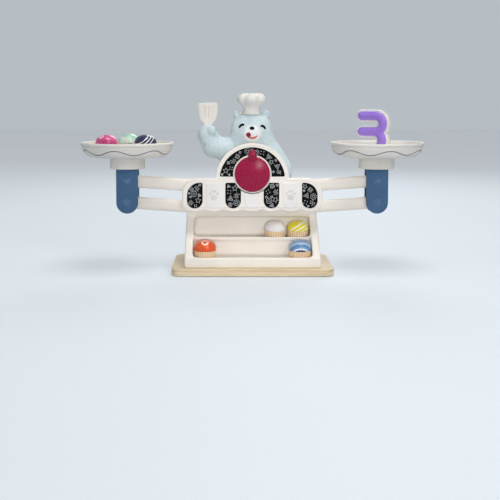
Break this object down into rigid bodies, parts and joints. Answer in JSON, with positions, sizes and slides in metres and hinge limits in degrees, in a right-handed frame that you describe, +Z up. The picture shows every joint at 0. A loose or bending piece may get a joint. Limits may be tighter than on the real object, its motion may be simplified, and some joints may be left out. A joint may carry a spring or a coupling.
{
  "type": "counting balance scale toy",
  "caption": "Counting balance toy: parallel beams with dished pans on a cake shop stand, with a pointer dial, a bear cook, display shelves, loose cupcake weights and a number weight.",
  "frame": {"origin": "on the floor under the middle of the balance, in the beams' middle plane", "axes": "+X along the beams towards the right pan seen from the front, +Y from the front to the back, +Z up"},
  "size_m": [0.4084, 0.1104, 0.2126],
  "materials": {
    "board_wood": "satin, light natural wood",
    "foot_rubber": "matt",
    "zinc_steel": "satin",
    "brass_bush": "satin",
    "stall_white": "semi-gloss, warm white",
    "awning_white": "semi-gloss, warm white",
    "cover_grey": "matt",
    "tower_cream": "matt",
    "panel_black": "gloss, white line print",
    "panel_pale": "gloss, cool white",
    "dial_crimson": "gloss",
    "beam_cream": "satin",
    "bracket_blue": "satin",
    "collar_white": "semi-gloss",
    "pan_white": "semi-gloss",
    "bear_blue": "satin, speckled",
    "hat_white": "matt",
    "spatula_white": "satin",
    "cup_wood": "natural wood, fluted",
    "icing_pink": "gloss paint",
    "icing_mint": "gloss paint",
    "icing_navy": "gloss paint",
    "icing_white": "gloss paint",
    "icing_yellow": "gloss paint",
    "icing_orange": "gloss paint",
    "icing_blue": "gloss paint",
    "digit_pale": "semi-gloss",
    "digit_purple": "gloss"
  },
  "bodies": {
    "stand": {"base_board": "board_wood", "foot_pads": "foot_rubber", "base_screws": "zinc_steel", "stall_body": "stall_white", "back_cover": "cover_grey", "cover_screws": "zinc_steel", "pivot_tower": "tower_cream", "tower_screws": "zinc_steel", "shaft_bushes": "brass_bush", "lower_axle": "zinc_steel", "fascia": "awning_white", "arch_panel": "panel_black", "dark_panels": "panel_black", "pale_panels": "panel_pale", "fascia_screws": "zinc_steel", "bear_front": "bear_blue", "bear_back": "bear_blue", "bear_screws": "zinc_steel", "chef_hat": "hat_white", "spatula": "spatula_white"},
    "upper_beam": {"upper_beam": "beam_cream", "dial_shaft": "zinc_steel", "shaft_clip": "zinc_steel", "pointer_dial": "dial_crimson"},
    "lower_beam": {"lower_beam": "beam_cream"},
    "left_hanger": {"left_bracket": "bracket_blue", "left_pins": "bracket_blue", "left_collar": "collar_white", "left_pan": "pan_white"},
    "right_hanger": {"right_bracket": "bracket_blue", "right_pins": "bracket_blue", "right_collar": "collar_white", "right_pan": "pan_white"},
    "pink_cupcake": {"pink_cup": "cup_wood", "pink_icing": "icing_pink"},
    "mint_cupcake": {"mint_cup": "cup_wood", "mint_icing": "icing_mint"},
    "navy_cupcake": {"navy_cup": "cup_wood", "navy_icing": "icing_navy"},
    "white_cupcake": {"white_cup": "cup_wood", "white_icing": "icing_white"},
    "yellow_cupcake": {"yellow_cup": "cup_wood", "yellow_icing": "icing_yellow"},
    "orange_cupcake": {"orange_cup": "cup_wood", "orange_icing": "icing_orange"},
    "blue_cupcake": {"blue_cup": "cup_wood", "blue_icing": "icing_blue"},
    "number_three": {"digit_plate": "digit_pale", "digit_stroke": "digit_purple"}
  },
  "joints": [
    {"name": "beam_tilt", "type": "hinge", "parent": "stand", "child": "upper_beam", "pos_m": [0, 0, 0.1168], "axis": [0, 1, 0], "range_deg": [-8, 8]},
    {"name": "lower_beam_tilt", "type": "hinge", "parent": "stand", "child": "lower_beam", "pos_m": [0, 0, 0.091], "axis": [0, 1, 0], "range_deg": [-8, 8]},
    {"name": "left_hanger_pivot", "type": "hinge", "parent": "upper_beam", "child": "left_hanger", "pos_m": [-0.149, 0, 0.1076], "axis": [0, 1, 0], "range_deg": [-8, 8]},
    {"name": "right_hanger_pivot", "type": "hinge", "parent": "upper_beam", "child": "right_hanger", "pos_m": [0.149, 0, 0.1076], "axis": [0, 1, 0], "range_deg": [-8, 8]},
    {"name": "pink_cupcake_lift", "type": "slide", "parent": "left_hanger", "child": "pink_cupcake", "axis": [0, 0, 1], "range_m": [0, 0.06]},
    {"name": "mint_cupcake_lift", "type": "slide", "parent": "left_hanger", "child": "mint_cupcake", "axis": [0, 0, 1], "range_m": [0, 0.06]},
    {"name": "navy_cupcake_lift", "type": "slide", "parent": "left_hanger", "child": "navy_cupcake", "axis": [0, 0, 1], "range_m": [0, 0.06]},
    {"name": "number_three_lift", "type": "slide", "parent": "right_hanger", "child": "number_three", "axis": [0, 0, 1], "range_m": [0, 0.06]},
    {"name": "white_cupcake_lift", "type": "slide", "parent": "stand", "child": "white_cupcake", "axis": [0, -0.3303, 0.9439], "range_m": [0, 0.008]},
    {"name": "yellow_cupcake_lift", "type": "slide", "parent": "stand", "child": "yellow_cupcake", "axis": [0, -0.3303, 0.9439], "range_m": [0, 0.008]},
    {"name": "orange_cupcake_lift", "type": "slide", "parent": "stand", "child": "orange_cupcake", "axis": [0, -0.2425, 0.9702], "range_m": [0, 0.03]},
    {"name": "blue_cupcake_lift", "type": "slide", "parent": "stand", "child": "blue_cupcake", "axis": [0, -0.2425, 0.9702], "range_m": [0, 0.03]}
  ],
  "couplings": [
    {"joint": "lower_beam_tilt", "follows": "beam_tilt", "ratio": 1},
    {"joint": "left_hanger_pivot", "follows": "beam_tilt", "ratio": -1},
    {"joint": "right_hanger_pivot", "follows": "beam_tilt", "ratio": -1}
  ]
}
